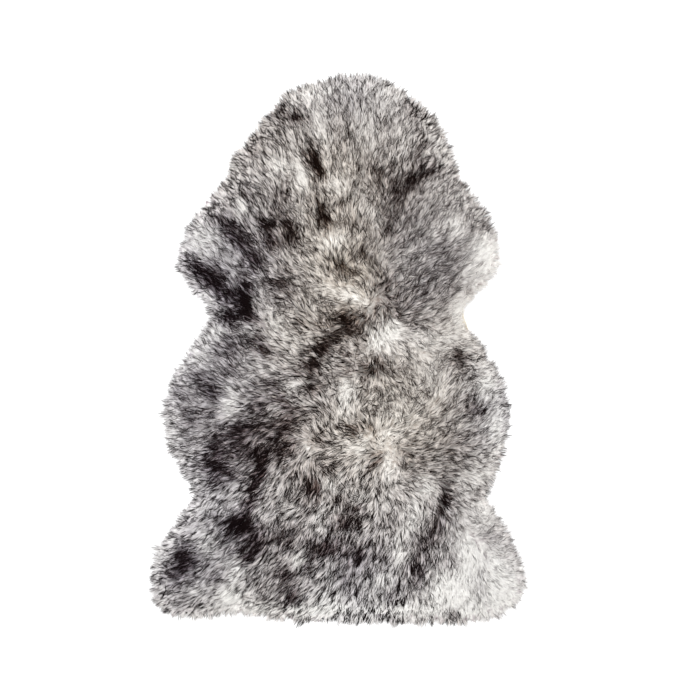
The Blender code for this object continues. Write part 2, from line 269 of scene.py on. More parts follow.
# Where the tips are dark and where they are pale, in mm. A patch's length runs at its turn, which
# is in degrees.
Patch = namedtuple("Patch", "place x y length width turn dark")
tonePatches = [
    ("brow left", -74, 405, 38, 22, 10, 0.55),
    ("brow left", -105, 410, 40, 44, 0, 0.30),
    ("crown", -5, 452, 40, 20, 90, 0.05),
    ("crown", 15, 425, 30, 26, 90, 0.08),
    ("crown", -15, 458, 70, 26, 0, -0.18),
    ("crown right", 130, 410, 60, 24, 115, 0.16),
    ("brow right", 116, 374, 36, 50, 0, -0.12),
    ("temple right", 180, 348, 50, 26, 110, -0.18),
    ("brow", 0, 366, 40, 16, 105, 0.14),
    ("temple left", -52, 340, 40, 26, 80, 0.60),
    ("temple left", -38, 316, 40, 20, 110, 0.80),
    ("shoulder left", -33, 240, 56, 20, 110, 0.80),
    ("shoulder left", -24, 214, 30, 30, 0, 0.08),
    ("withers", 2, 258, 26, 16, 0, 0.30),
    ("withers", 24, 227, 44, 22, 5, 0.28),
    ("temple right", 130, 300, 74, 34, 40, 0.42),
    ("temple right", 98, 284, 74, 36, 155, 0.14),
    ("temple right", 124, 274, 50, 20, 0, -0.10),
    ("temple right", 66, 312, 36, 28, 90, 0.28),
    ("temple right", 90, 314, 40, 28, 0, 0.16),
    ("temple right", 62, 283, 28, 26, 90, 0.10),
    ("temple right", 165, 314, 60, 22, 0, 0.32),
    ("brow right", 141, 346, 36, 22, 80, 0.35),
    ("shoulder right", 100, 242, 84, 66, 90, 0.26),
    ("shoulder right", 86, 212, 28, 26, 0, 0.30),
    ("shoulder right", 180, 172, 50, 38, 0, 0.05),
    ("fore leg right", 196, 140, 80, 60, 90, 0.10),
    ("shoulder right", 250, 214, 50, 44, 0, 0.30),
    ("shoulder right", 107, 180, 36, 28, 0, 0.15),
    ("withers", 44, 172, 42, 22, 120, 0.35),
    ("withers", 24, 136, 32, 22, 0, 0.20),
    ("withers", 2, 150, 44, 44, 0, 0.42),
    ("withers right", 76, 100, 90, 44, 90, 0.36),
    ("shoulder left", -162, 270, 30, 20, 100, 0.28),
    ("shoulder left", -100, 276, 40, 34, 90, 0.28),
    ("shoulder left", -128, 225, 26, 22, 90, 0.90),
    ("shoulder left", -205, 240, 70, 40, 60, 0.12),
    ("shoulder left", -105, 240, 50, 36, 90, 0.22),
    ("shoulder left", -87, 207, 52, 26, 105, 0.50),
    ("shoulder left", -118, 191, 34, 30, 0, 0.50),
    ("shoulder left", -132, 200, 60, 60, 0, 0.12),
    ("shoulder left", -189, 212, 60, 30, 130, 0.48),
    ("shoulder left", -165, 186, 56, 40, 130, 0.32),
    ("fore leg left", -152, 155, 34, 30, 0, 0.60),
    ("fore leg left", -224, 124, 84, 42, 140, 0.60),
    ("fore leg left", -256, 152, 50, 28, 130, 0.30),
    ("neck left", -167, 85, 64, 24, 86, 1.50),
    ("neck left", -195, 57, 36, 20, 0, 0.80),
    ("neck left", -150, 52, 36, 22, 100, 0.45),
    ("neck left", -190, 92, 50, 44, 0, 0.30),
    ("flank left", -140, 7, 38, 26, 115, 0.65),
    ("flank left", -190, -35, 50, 30, 90, 0.20),
    ("belly left", -112, -60, 40, 26, 0, 0.20),
    ("flank left", -176, 20, 56, 34, 0, 0.22),
    ("flank left", -196, 0, 60, 44, 90, 0.20),
    ("middle left", -71, 50, 42, 18, 150, 0.32),
    ("neck left", -106, 118, 54, 42, 90, 0.46),
    ("middle", 7, 46, 36, 32, 90, 0.80),
    ("middle", 31, 38, 42, 24, 90, 0.38),
    ("middle", 48, 66, 44, 34, 60, 0.40),
    ("middle", 2, 76, 44, 26, 0, 0.22),
    ("middle", -36, 5, 38, 24, 45, 0.72),
    ("middle", -12, 20, 26, 24, 0, 0.50),
    ("middle", -54, -18, 34, 26, 45, 0.65),
    ("middle left", -86, -33, 36, 22, 0, 0.28),
    ("middle", 6, -5, 26, 20, 0, 0.36),
    ("middle", 58, -36, 46, 38, 0, 0.68),
    ("middle", 28, -36, 64, 46, 0, 0.20),
    ("fore leg right", 145, 110, 54, 42, 100, 0.24),
    ("neck right", 110, 86, 74, 26, 150, 0.30),
    ("neck right", 118, 50, 70, 36, 150, 0.42),
    ("neck right", 90, 124, 50, 24, 0, 0.16),
    ("middle", 70, 40, 50, 40, 0, 0.18),
    ("flank right", 215, -13, 38, 28, 120, 0.45),
    ("belly right", 238, -91, 38, 34, 90, 0.38),
    ("belly right", 122, -184, 60, 50, 0, 0.22),
    ("belly right", 205, -160, 60, 40, 0, 0.25),
    ("belly", 19, -136, 28, 22, 150, 0.66),
    ("belly", 52, -122, 30, 26, 0, 0.50),
    ("belly", 10, -168, 34, 30, 0, -0.25),
    ("belly left", -226, -68, 42, 38, 0, 0.36),
    ("belly left", -284, -82, 50, 40, 90, 0.25),
    ("belly left", -265, -125, 34, 30, 0, 0.25),
    ("waist left", -240, -195, 34, 34, 90, 0.20),
    ("belly left", -232, -103, 44, 30, 0, 0.22),
    ("belly left", -246, -40, 44, 32, 0, 0.26),
    ("belly left", -144, -96, 50, 44, 90, 0.42),
    ("belly left", -104, -82, 52, 26, 120, 0.50),
    ("belly left", -90, -120, 40, 34, 0, 0.36),
    ("middle", -50, -62, 36, 26, 30, 0.48),
    ("belly left", -150, -138, 130, 38, 5, 0.54),
    ("belly", -58, -100, 60, 26, 10, 0.24),
    ("belly", -42, -148, 40, 36, 0, 0.26),
    ("waist left", -220, -180, 62, 32, 85, 0.55),
    ("waist left", -210, -222, 60, 30, 0, 0.36),
    ("waist left", -200, -212, 60, 24, 160, 0.34),
    ("waist left", -143, -206, 58, 24, 80, 0.85),
    ("waist left", -190, -150, 60, 40, 90, 0.25),
    ("waist left", -166, -178, 60, 44, 0, 0.48),
    ("belly left", -100, -172, 60, 50, 90, 0.48),
    ("waist left", -156, -250, 62, 24, 75, 0.78),
    ("haunch left", -172, -303, 36, 34, 0, 1.25),
    ("haunch left", -206, -298, 40, 26, 0, 0.28),
    ("haunch left", -190, -325, 50, 36, 0, 0.28),
    ("haunch left", -190, -366, 30, 26, 0, -0.2),
    ("haunch left", -142, -331, 50, 40, 20, 0.52),
    ("haunch left", -160, -356, 42, 30, 0, 0.50),
    ("rump", -89, -319, 52, 26, 20, 0.42),
    ("rump", -92, -346, 42, 32, 0, 0.26),
    ("rump", -101, -388, 42, 22, 20, 0.60),
    ("rump", -60, -378, 32, 20, 0, 0.30),
    ("rump", -88, -426, 52, 34, 70, 0.62),
    ("waist", -46, -243, 36, 28, 120, 0.85),
    ("waist", -28, -214, 52, 34, 0, 0.25),
    ("waist", -76, -225, 60, 50, 90, 0.22),
    ("waist", -55, -268, 50, 24, 0, 0.20),
    ("waist", 0, -262, 28, 20, 0, 0.40),
    ("rump", 28, -278, 28, 24, 0, 0.45),
    ("rump", 8, -302, 52, 26, 0, 0.52),
    ("rump", -20, -343, 54, 32, 20, 0.68),
    ("rump", -46, -346, 40, 28, 90, 0.36),
    ("rump", 25, -360, 52, 42, 0, 0.55),
    ("rump", 75, -360, 34, 22, 90, 0.15),
    ("rump", 50, -398, 26, 22, 90, 0.00),
    ("rump", 5, -402, 40, 18, 100, 0.30),
    ("haunch right", 187, -258, 54, 20, 75, 1.00),
    ("haunch right", 167, -310, 64, 24, 62, 0.52),
    ("haunch right", 138, -352, 54, 26, 62, 0.34),
    ("haunch right", 132, -390, 40, 30, 60, 0.55),
    ("rump right", 92, -430, 52, 22, 80, 0.38),
    ("waist", 52, -192, 32, 30, 90, 0.62),
    ("waist right", 191, -205, 38, 30, 0, 0.10),
    ("waist right", 255, -205, 40, 40, 90, -0.30),
    ("haunch right", 260, -320, 42, 30, 0, 0.28),
    ("hind leg left", -270, -354, 56, 46, 90, 0.50),
    ("hind leg left", -286, -384, 66, 44, 50, 0.20),
    ("hind leg left", -226, -400, 52, 26, 0, 0.22),
    ("rump right", 196, -458, 42, 22, 140, 0.70),
    ("haunch right", 186, -370, 32, 24, 0, 0.22),
    ("temple left", -106, 318, 36, 32, 0, -0.38),
    ("temple left", -69, 300, 60, 26, 100, -0.45),
    ("temple left", -10, 288, 50, 26, 0, -0.34),
    ("brow", -38, 385, 80, 32, 100, -0.22),
    ("brow", -58, 440, 56, 42, 0, -0.18),
    ("crown right", 85, 440, 60, 56, 0, -0.20),
    ("brow", 48, 388, 44, 50, 0, -0.25),
    ("withers", -12, 191, 44, 30, 0, -0.50),
    ("withers", 58, 236, 48, 20, 130, -0.26),
    ("shoulder right", 205, 216, 42, 32, 90, -0.40),
    ("shoulder right", 262, 172, 90, 52, 90, -0.72),
    ("shoulder left", -240, 190, 56, 46, 60, -0.35),
    ("shoulder left", -170, 250, 32, 22, 90, -0.28),
    ("withers", 18, 91, 90, 26, 165, -0.48),
    ("withers", -50, 150, 60, 28, 0, -0.10),
    ("neck left", -111, 46, 72, 46, 110, -0.24),
    ("middle", 99, 29, 60, 34, 30, -0.68),
    ("middle", 72, 11, 36, 34, 0, -0.62),
    ("flank right", 150, 10, 60, 50, 0, -0.30),
    ("flank right", 205, 20, 60, 40, 0, -0.32),
    ("flank right", 160, -50, 60, 44, 90, -0.30),
    ("flank right", 258, -58, 60, 50, 90, -0.40),
    ("neck right", 226, 112, 90, 32, 90, -0.20),
    ("neck right", 212, 62, 50, 34, 90, -0.50),
    ("belly left", -194, -92, 82, 22, 86, -0.46),
    ("middle", 10, -74, 46, 28, 90, -0.62),
    ("belly", 100, -112, 84, 56, 0, -0.24),
    ("belly", 86, -142, 40, 28, 0, -0.26),
    ("flank left", -248, -8, 46, 34, 0, -0.20),
    ("flank left", -138, -28, 44, 30, 20, -0.15),
    ("belly left", -130, -126, 60, 30, 0, -0.15),
    ("belly", -60, -170, 32, 28, 0, -0.24),
    ("belly", 34, -172, 64, 22, 90, -0.40),
    ("waist", 87, -200, 92, 28, 88, -0.40),
    ("waist", -11, -241, 28, 22, 90, -0.35),
    ("waist left", -95, -256, 44, 28, 90, -0.10),
    ("rump", -34, -290, 60, 24, 75, -0.24),
    ("rump", -73, -361, 28, 26, 0, -0.50),
    ("rump left", -185, -396, 72, 26, 80, -0.34),
    ("rump left", -190, -426, 56, 30, 0, -0.46),
    ("rump left", -150, -450, 110, 30, 0, -0.32),
    ("rump", -35, -452, 90, 28, 0, -0.30),
    ("haunch left", -232, -335, 44, 36, 0, -0.34),
    ("hind leg left", -250, -412, 52, 22, 15, -0.20),
    ("haunch right", 130, -290, 104, 26, 62, -0.36),
    ("haunch right", 225, -350, 110, 58, 80, -0.52),
    ("haunch right", 258, -284, 60, 36, 120, -0.25),
    ("rump right", 190, -416, 64, 56, 0, -0.85),
    ("rump right", 110, -450, 110, 34, 0, -0.28),
    ("rump right", 225, -448, 120, 38, 0, -0.55),
    ("rump", 100, -354, 62, 26, 95, -0.34),
    ("rump", 76, -400, 40, 40, 0, -0.34),
    ("rump", -25, -432, 56, 48, 0, -0.24),
    ("hind leg right", 275, -372, 62, 56, 90, -0.45),
    ("hind leg right", 288, -418, 60, 54, 0, -0.75),
    ("waist right", 160, -240, 32, 28, 90, -0.34),
    ("waist right", 226, -226, 52, 40, 0, -0.20),
    ("belly right", 278, -130, 84, 30, 90, -0.45),
    ("rump", 50, -432, 50, 32, 0, -0.10),
    ("tail rim", -90, -452, 230, 26, 0, -0.16),
    ("tail rim", 130, -456, 220, 24, 0, -0.16),
    ("temple left rim", -156, 346, 44, 26, 52, 0.26),
    ("temple left rim", -143, 376, 36, 24, 50, 0.26),
    ("brow left rim", -112, 424, 34, 20, 40, 0.16),
    ("brow right rim", 128, 432, 52, 24, 135, 0.22),
    ("neck left", -162, 40, 38, 24, 0, -0.40),
    ("neck left rim", -214, 36, 38, 24, 60, -0.34),
    ("haunch left rim", -312, -345, 120, 30, 70, -0.18),
    ("flank left rim", -296, -140, 80, 20, 90, -0.12),
    ("haunch left", -286, -384, 70, 50, 60, 0.20),
    ("neck right", 221, 101, 38, 18, 0, 0.26),
    ("neck right rim", 250, 98, 54, 28, 50, -0.24),
    ("neck right rim", 208, 42, 62, 28, 105, 0.16),
    ("haunch right", 193, -270, 36, 22, 60, 0.28),
    ("loins", 40, -256, 60, 24, 0, -0.28),
    ("fore leg right rim", 268, 190, 80, 28, 100, 0.24),
    ("flank right rim", 284, -108, 90, 24, 90, 0.18),
    ("belly left", -92, -62, 38, 24, 30, -0.34),
    ("middle right", 90, -10, 40, 24, 0, -0.26),
    ("loins left", -52, -218, 34, 26, 0, -0.26),
    ("middle", -24, 53, 48, 24, 15, 0.32),
    ("middle", -66, -40, 44, 20, 30, 0.18),
    ("middle", -4, -36, 34, 20, 0, 0.28),
]
tonePatches = [Patch(*row) for row in tonePatches]


def patchTone(x, y):
    tone = np.full_like(x, toneValues["base"])
    inset = readAt(form["inset"], x, y) / toneValues["rimReach"]
    tone -= toneValues["rimPale"] * np.clip(1 - inset, 0, 1.6)
    for patch in tonePatches:
        turn = math.radians(patch.turn)
        east, north = x - patch.x * mm, y - patch.y * mm
        lengthways = (east * math.cos(turn) + north * math.sin(turn)) / (patch.length / 2 * mm)
        sideways = (north * math.cos(turn) - east * math.sin(turn)) / (patch.width / 2 * mm)
        tone += toneValues["patchGain"] * patch.dark * np.exp(-(lengthways**2) - sideways**2)
    return tone


toneValues = {
    "base": 0.49,
    "patchGain": 1.28,
    "cloudSize": 26 * mm,
    "cloudStrength": 0.12,
    "streakWidth": 5.5 * mm,  # tufts that follow each other tend to be alike
    "streakStep": 7 * mm,
    "streakStrength": 0.34,
    "tuftSpread": 0.17,
    "rimPale": 0.06,  # how much paler the rim is
    "rimReach": 12 * mm,
    "greyStart": 0.12,  # how grey a strand's body is where the tips are pale, and how it grows
    "greyGain": 0.68,
}


def toneClouds(x, y):
    return cloudy(x, y, toneValues["cloudSize"], 1.7) * toneValues["cloudStrength"]


def greyOf(tone):
    return np.clip(toneValues["greyStart"] + toneValues["greyGain"] * tone, 0, 1.5)


# Where the wool is warm ivory and where it is cooler.
Tint = namedtuple("Tint", "place x y reach warm")
tintPatches = [
    ("flank left", -300, 0, 190, -0.55),
    ("fore leg left", -230, 170, 110, -0.35),
    ("haunch left", -290, -320, 130, -0.70),
    ("withers", -15, 180, 80, 0.45),
    ("middle", 10, 100, 90, 0.35),
    ("temple", 0, 330, 90, 0.35),
    ("middle left", -100, 30, 70, 0.30),
    ("belly", 0, -150, 100, 0.30),
    ("belly right", 130, -100, 95, 0.40),
    ("haunch right", 260, -380, 120, -0.30),
    ("crown", 20, 460, 90, -0.30),
    ("tail", 20, -430, 110, -0.40),
    ("shoulder right", 165, 150, 110, -0.20),
    ("flank right", 290, -95, 70, -0.45),
    ("neck right", 225, 50, 60, 0.25),
]
tintPatches = [Tint(*row) for row in tintPatches]


def nearness(place, x, y):
    away = np.hypot(x - place.x * mm, y - place.y * mm) / (place.reach * mm)
    return np.exp(-(away**2))


def woolTint(x, y):
    warm = np.full_like(x, 0.5)
    for patch in tintPatches:
        warm += patch.warm * nearness(patch, x, y)
    return np.clip(warm, 0, 1)


# How crisp the wool is, where dark tips and pale bodies stand apart or blend, and how tousled.
Nature = namedtuple("Nature", "place x y reach crisp tousled")
naturePatches = [
    ("tail", 20, -420, 150, 0.70, -0.75),
    ("loins", -15, -160, 150, 0.22, -0.22),
    ("ribs left", -150, -220, 130, 0.12, -0.12),
    ("flank left", -290, -80, 130, -0.25, 0.05),
    ("fore leg left", -260, 170, 90, -0.15, 0),
    ("shoulder right", 165, 190, 140, -0.35, 0.30),
    ("belly right", 160, -110, 110, -0.15, 0.20),
    ("haunch right", 250, -340, 110, -0.40, 0.25),
    ("crown", 20, 400, 110, -0.12, -0.30),
    ("neck right", 222, 62, 50, -0.50, 0),
    ("fore leg right", 272, 120, 50, -0.35, 0),
]
naturePatches = [Nature(*row) for row in naturePatches]


def natureOf(x, y, kind):
    amount = np.full_like(x, 1.0)
    for patch in naturePatches:
        amount += getattr(patch, kind) * nearness(patch, x, y)
    return np.clip(amount, 0.25, 2)


bareEdge = {"x": 220 * mm, "y": 55 * mm, "reach": 34 * mm}  # where the skin's edge shows


def bareness(x, y):
    away = np.hypot(x - bareEdge["x"], y - bareEdge["y"]) / bareEdge["reach"]
    return np.exp(-(away**4))


# The wool hangs together in locks, and each lock is a bunch of tufts. Each has its place, the way
# it lies, its length and how dark its tip is.
lockValues = {
    "pitch": 6.5 * mm,
    "turnSpread": 11,  # degrees
    "lengthSpread": 0.22,
    "gather": 0.3,  # how far its tufts' tips are drawn in to its own tip
    "toneSpread": 0.11,
    "partingReach": 10 * mm,
    "partingTurn": 28,  # degrees more where the wool parts
    "partingShort": 0.4,
}
tuftValues = {
    "pitch": 4.5 * mm,
    "scatter": 0.45,  # of the pitch
    "length": 33 * mm,  # as seen from above
    "lengthSpread": 0.1,
    "turnSpread": 6,  # degrees
    "wildTurn": 48,  # degrees more in the unruly middle
    "wildAt": (20 * mm, -50 * mm),
    "wildReach": 190 * mm,
    "swirlSize": 42 * mm,
    "ruffle": 26,  # degrees, from one tuft to the next
    "ruffleSize": 15 * mm,
    "crispLonger": 0.3,
    "shortest": 10 * mm,
    "darkAt": 0.8,  # the share of a tuft's length where it is darkest
    "outerReach": 16 * mm,  # how far a tip may reach past the slab's rim
    "outerUneven": 7 * mm,
    "rimTuftSize": 14 * mm,  # the rim's locks hang together in broad points
    "rimTuftReach": 22 * mm,
}


def stepFrom(x, y, heading, length):
    return x + np.cos(heading) * length, y + np.sin(heading) * length


def scatterPlaces(rng, pitch):
    rows = np.arange(fleeceLow.y, fleeceHigh.y, pitch * math.sqrt(3) / 2)
    columns = np.arange(fleeceLow.x, fleeceHigh.x, pitch)
    x = columns[None, :] + (np.arange(len(rows)) % 2)[:, None] * pitch / 2
    y = np.repeat(rows[:, None], len(columns), axis=1)
    x, y = x.ravel(), y.ravel()
    x = x + rng.uniform(-1, 1, x.size) * tuftValues["scatter"] * pitch
    y = y + rng.uniform(-1, 1, y.size) * tuftValues["scatter"] * pitch
    return x, y


def lieOf(x, y):
    east, north = x - tuftValues["wildAt"][0], y - tuftValues["wildAt"][1]
    wild = np.exp(-((np.hypot(east, north * 0.7) / tuftValues["wildReach"]) ** 2))
    swirl = cloudy(x, y, tuftValues["swirlSize"], 3.3) * 2 * np.radians(tuftValues["wildTurn"]) * wild
    ruffle = np.radians(tuftValues["ruffle"] * (1 + 1.6 * wild))
    ruffle = cloudy(x, y, tuftValues["ruffleSize"], 6.1) * ruffle
    ruffle *= natureOf(x, y, "tousled")
    return combedHeading(x, y) + swirl + ruffle


def layLocks(rng):
    x, y = scatterPlaces(rng, lockValues["pitch"])
    tree = kdtree.KDTree(x.size)
    for number, place in enumerate(zip(x, y)):
        tree.insert((*place, 0), number)
    tree.balance()
    # where the wool parts, locks are short and lie every way
    reach = lockValues["partingReach"]
    parting = np.cos(combedHeading(x + reach, y)) - np.cos(combedHeading(x - reach, y))
    parting += np.sin(combedHeading(x, y + reach)) - np.sin(combedHeading(x, y - reach))
    parting = np.clip(parting / 1.6, 0, 1)
    turn = lockValues["turnSpread"] * natureOf(x, y, "tousled")
    turn += lockValues["partingTurn"] * parting
    turn = rng.normal(0, 1, x.size) * np.radians(turn)
    length = 1 + rng.uniform(-1, 1, x.size) * lockValues["lengthSpread"]
    length *= 1 - lockValues["partingShort"] * parting
    tipX, tipY = stepFrom(x, y, lieOf(x, y) + turn, length * tuftValues["length"])
    return {
        "tree": tree,
        "turn": turn,
        "length": length,
        "tipX": tipX,
        "tipY": tipY,
        "curl": rng.normal(0, 1, x.size),
        "tone": rng.normal(0, 1, x.size) * lockValues["toneSpread"],
        "outer": rng.uniform(-1, 1, x.size) * tuftValues["outerUneven"],
    }


def layTufts(rng):
    locks = layLocks(rng)
    x, y = scatterPlaces(rng, tuftValues["pitch"])
    kept = readAt(form["inset"], x, y) > 1 * mm
    x, y = x[kept], y[kept]
    lock = np.array([locks["tree"].find((*place, 0))[1] for place in zip(x, y)])
    heading = lieOf(x, y) + locks["turn"][lock]
    heading += rng.normal(0, 1, x.size) * np.radians(tuftValues["turnSpread"])
    length = tuftValues["length"] * locks["length"][lock]
    length *= 1 + rng.uniform(-1, 1, x.size) * tuftValues["lengthSpread"]
    length *= 1 + tuftValues["crispLonger"] * (natureOf(x, y, "crisp") - 1)
    gather = lockValues["gather"]
    tipX, tipY = stepFrom(x, y, heading, length)
    tipX = tipX * (1 - gather) + locks["tipX"][lock] * gather
    tipY = tipY * (1 - gather) + locks["tipY"][lock] * gather
    heading, length = np.arctan2(tipY - y, tipX - x), np.hypot(tipX - x, tipY - y)
    # near the rim a tuft is shortened so that it ends where the drooping locks do
    outer = tuftValues["outerReach"] + locks["outer"][lock]
    outer += cloudy(x, y, tuftValues["rimTuftSize"], 4.4) * tuftValues["rimTuftReach"]
    outer = outer * (1 - 0.9 * bareness(x, y))
    for _ in range(3):
        tipX, tipY = stepFrom(x, y, heading, length)
        past = -readAt(form["inset"], tipX, tipY) - outer
        length = np.where(past > 0, np.maximum(length - past, tuftValues["shortest"]), length)
    tipX, tipY = stepFrom(x, y, heading, length)
    darkX, darkY = stepFrom(x, y, heading, tuftValues["darkAt"] * length)
    crisp = natureOf(tipX, tipY, "crisp")
    tone = patchTone(darkX, darkY) + toneClouds(tipX, tipY) * crisp
    grey = greyOf(tone)
    ordered = np.clip(1.15 - natureOf(tipX, tipY, "tousled"), 0, 1)
    own = rng.normal(0, 1, x.size) * toneValues["tuftSpread"] * (1 - 0.5 * ordered)
    own += locks["tone"][lock]
    for step in range(-2, 3):
        east, north = stepFrom(darkX, darkY, heading, step * toneValues["streakStep"])
        streak = cloudy(east, north, toneValues["streakWidth"], 8.1)
        own += streak * toneValues["streakStrength"] * ordered
    tone += own * crisp**2
    return {
        "x": x,
        "y": y,
        "heading": heading,
        "length": length,
        "curl": locks["curl"][lock] + rng.normal(0, 0.4, x.size),
        "tone": tone,
        "grey": grey,
        "warm": woolTint(tipX, tipY),
        "crisp": crisp,
    }


# Each strand is a slim closed spindle with three sides and one ring. A tuft has long guard strands
# that meet in one thin dark point, and shorter downy ones that stay loose and pale.
strandValues = {
    "perTuft": 6,
    "guardShare": 0.34,
    "width": 1.1 * mm,
    "widthSpread": 0.25,
    "crispWider": 0.55,  # how much wider it is where the wool is crisp
    "downLength": (0.6, 0.92),  # as shares of the guard strands' length
    "rootSpread": 3.6 * mm,
    "guardSpread": 0.7 * mm,
    "looseSpread": 4 * mm,
    "downSpread": 3.4 * mm,
    "stops": (0, 0.6, 1),  # along the strand: root point, its one ring and tip
    "bow": 0.14,  # how far it bows sideways, as a share of its length
    "sink": 0.55,  # how deep its root lies in the pile above the rim's height
    "leastPile": 2 * mm,
    "guardLift": 4 * mm,
    "downLift": 1 * mm,
    "softness": 0.8,  # how far its shading follows the fleece and not its own sides
    "floorGap": 0.3 * mm,
}
bakeCells = {"columns": 256, "rows": 102}
rimDroop = {"height": 13 * mm, "reach": 17 * mm, "least": 0.9 * mm}


def woolTop(x, y):
    inset = readAt(form["inset"], x, y)
    slab = np.maximum(readAt(form["height"], x, y), rimDroop["height"])
    past = np.clip(-inset / rimDroop["reach"], 0, 1)
    droop = rimDroop["height"] * (1 - past) ** 1.3 + rimDroop["least"]
    return np.where(inset > 0, slab, droop)


def bowedPlace(x, y, heading, length, bow, stop):
    forward = np.stack([np.cos(heading), np.sin(heading)], 1)
    aside = np.stack([-forward[:, 1], forward[:, 0]], 1)
    flat = np.stack([x, y], 1) + forward * (length * stop)[:, None]
    return flat + aside * (bow * stop**2)[:, None]


def discOffsets(rng, radius):
    around, out = rng.uniform(0, 2 * np.pi, radius.size), np.sqrt(rng.uniform(0, 1, radius.size))
    return np.stack([np.cos(around), np.sin(around)], 1) * (out * radius)[:, None]


def growStrands(tufts, rng):
    count = strandValues["perTuft"]
    x, y, heading, length = (np.repeat(tufts[n], count) for n in ("x", "y", "heading", "length"))
    total = x.size
    guard = rng.uniform(0, 1, total) < strandValues["guardShare"]
    loose = np.clip(1.15 - np.repeat(tufts["crisp"], count), 0.05, 0.5)
    guardLength = 1 - rng.uniform(-0.5, 1, total) * loose
    length = length * np.where(guard, guardLength, rng.uniform(*strandValues["downLength"], total))
    rootOff = discOffsets(rng, np.full(total, strandValues["rootSpread"]))
    guardSpread = strandValues["guardSpread"] + strandValues["looseSpread"] * loose
    tipOff = discOffsets(rng, np.where(guard, guardSpread, strandValues["downSpread"]))
    bow = rng.normal(0, 0.4, total) + np.repeat(tufts["curl"], count)
    bow = bow * strandValues["bow"] * length
    most = np.where(guard, strandValues["guardLift"], strandValues["downLift"])
    lift = rng.uniform(-0.3, 1, total) * most
    places = []
    for stop in strandValues["stops"]:
        gather = min(1, stop * 1.3) ** 0.8
        flat = bowedPlace(x, y, heading, length, bow, stop)
        flat = flat + rootOff * (1 - gather) + tipOff * gather
        top = woolTop(flat[:, 0], flat[:, 1])
        sunk = strandValues["sink"] * np.maximum(top - rimDroop["height"], strandValues["leastPile"])
        sunk = sunk * (1 - stop) ** 1.5
        z = np.maximum(top - sunk + lift * stop, rimDroop["least"])
        places.append(np.column_stack([flat, z]))
    strands = {n: np.repeat(tufts[n], count) for n in ("tone", "grey", "warm", "crisp")}
    return strands | {"spine": np.stack(places, 1), "guard": guard}


# Strands from the wool's wall at the rim, which hang down to the floor.
rimValues = {
    "tries": 400000,  # random places, of which those on the wall are kept
    "wall": (0.5 * mm, 4.5 * mm),  # from the rim
    "strands": 10500,
    "length": 19 * mm,
    "lengthSpread": 0.4,
    "unevenSize": 12 * mm,
    "tipHeight": 1.2 * mm,
    "lowest": 1.5 * mm,
    "highest": 12 * mm,
    "combed": 0.6,  # how far they follow the combing and not just outwards
    "clumpSize": 5 * mm,
    "clumpTurn": 30,  # degrees
    "turnSpread": 13.2,  # degrees
    "bow": 0.09,
    "slopeReach": 6 * mm,
}


def outward(x, y):
    reach = rimValues["slopeReach"]
    across = readAt(form["inset"], x + reach, y) - readAt(form["inset"], x - reach, y)
    along = readAt(form["inset"], x, y + reach) - readAt(form["inset"], x, y - reach)
    return np.arctan2(-along, -across)


def growRim(rng):
    x = rng.uniform(fleeceLow.x, fleeceHigh.x, rimValues["tries"])
    y = rng.uniform(fleeceLow.y, fleeceHigh.y, rimValues["tries"])
    inset = readAt(form["inset"], x, y)
    kept = (inset > rimValues["wall"][0]) & (inset < rimValues["wall"][1])
    x, y = x[kept][: rimValues["strands"]], y[kept][: rimValues["strands"]]
    kept = rng.uniform(0, 1, x.size) > 0.75 * bareness(x, y)
    x, y = x[kept], y[kept]
    total = x.size
    out, combed, share = outward(x, y), combedHeading(x, y), rimValues["combed"]
    north, east = np.sin(out) + share * np.sin(combed), np.cos(out) + share * np.cos(combed)
    heading = np.arctan2(north, east)
    heading += cloudy(x, y, rimValues["clumpSize"], 2.2) * 2 * np.radians(rimValues["clumpTurn"])
    heading += rng.normal(0, 1, total) * np.radians(rimValues["turnSpread"])
    length = rimValues["length"] * (1 + rng.uniform(-1, 1, total) * rimValues["lengthSpread"])
    length *= 1 + 0.5 * cloudy(x, y, rimValues["unevenSize"], 4.4)
    length *= 1 - 0.5 * bareness(x, y)
    start = rng.uniform(rimValues["lowest"], rimValues["highest"], total)
    bow = rng.normal(0, 1, total) * rimValues["bow"] * length
    places = []
    for stop in strandValues["stops"]:
        flat = bowedPlace(x, y, heading, length, bow, stop)
        z = start * (1 - stop**1.6) + rimValues["tipHeight"] * stop
        z = np.maximum(z, rimDroop["least"])
        places.append(np.column_stack([flat, z]))
    tipX, tipY = places[-1][:, 0], places[-1][:, 1]
    tone = patchTone(tipX, tipY) + toneClouds(tipX, tipY)
    return {
        "spine": np.stack(places, 1),
        "guard": rng.uniform(0, 1, total) < strandValues["guardShare"],
        "tone": tone,
        "grey": greyOf(tone),
        "warm": woolTint(tipX, tipY),
        "crisp": natureOf(tipX, tipY, "crisp"),
    }


